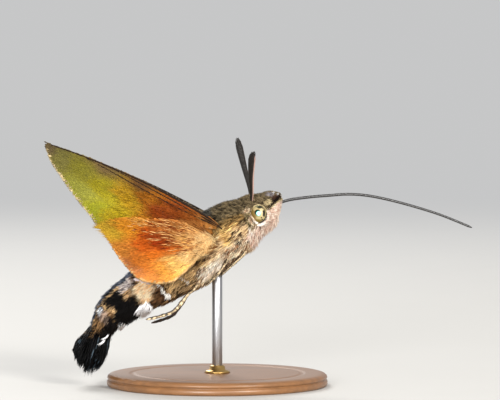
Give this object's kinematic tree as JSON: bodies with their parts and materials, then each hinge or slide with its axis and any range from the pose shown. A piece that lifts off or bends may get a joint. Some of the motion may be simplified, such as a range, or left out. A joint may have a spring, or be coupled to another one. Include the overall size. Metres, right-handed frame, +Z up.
{
  "type": "hummingbird hawk moth display model",
  "caption": "Life-size still model of a hummingbird hawk moth hovering with raised wings and outstretched tongue, held by a rod on a round base.",
  "frame": {"origin": "centre of the stand base's underside, straight below the rod", "axes": "+X the way the moth faces, -Y the moth's right side, +Z up"},
  "size_m": [0.05, 0.026, 0.0292],
  "materials": {
    "head_coat": "short dense scale hair, grey-brown above",
    "palp_coat": "short cream scale hair",
    "eye": "glossy, finely faceted, khaki with a dark false pupil",
    "antenna": "dark, ringed, pale along the front edge",
    "proboscis": "black, glossy, finely ringed",
    "thorax_coat": "long soft hair, olive-grey above, cream below",
    "abdomen_coat": "scale hair, dark above with tan, white and black side tufts",
    "tail_coat": "long black scale blades, satin",
    "forewing": "scaled membrane, rust at the root below, grey-brown above",
    "hindwing": "scaled membrane, orange with a dark margin",
    "leg": "scaled, banded cream and brown",
    "stand_base": "satin turned wood",
    "stand_rod": "brushed"
  },
  "bodies": {
    "root": {"head": "head_coat", "palp_right": "palp_coat", "palp_left": "palp_coat", "eye_right": "eye", "eye_left": "eye", "antenna_right": "antenna", "antenna_left": "antenna", "proboscis": "proboscis", "thorax": "thorax_coat", "abdomen": "abdomen_coat", "tail_fan": "tail_coat", "forewing_right": "forewing", "forewing_left": "forewing", "hindwing_right": "hindwing", "hindwing_left": "hindwing", "foreleg_right": "leg", "foreleg_left": "leg", "midleg_right": "leg", "midleg_left": "leg", "hindleg_right": "leg", "hindleg_left": "leg", "stand_base": "stand_base", "stand_rod": "stand_rod"}
  },
  "joints": []
}
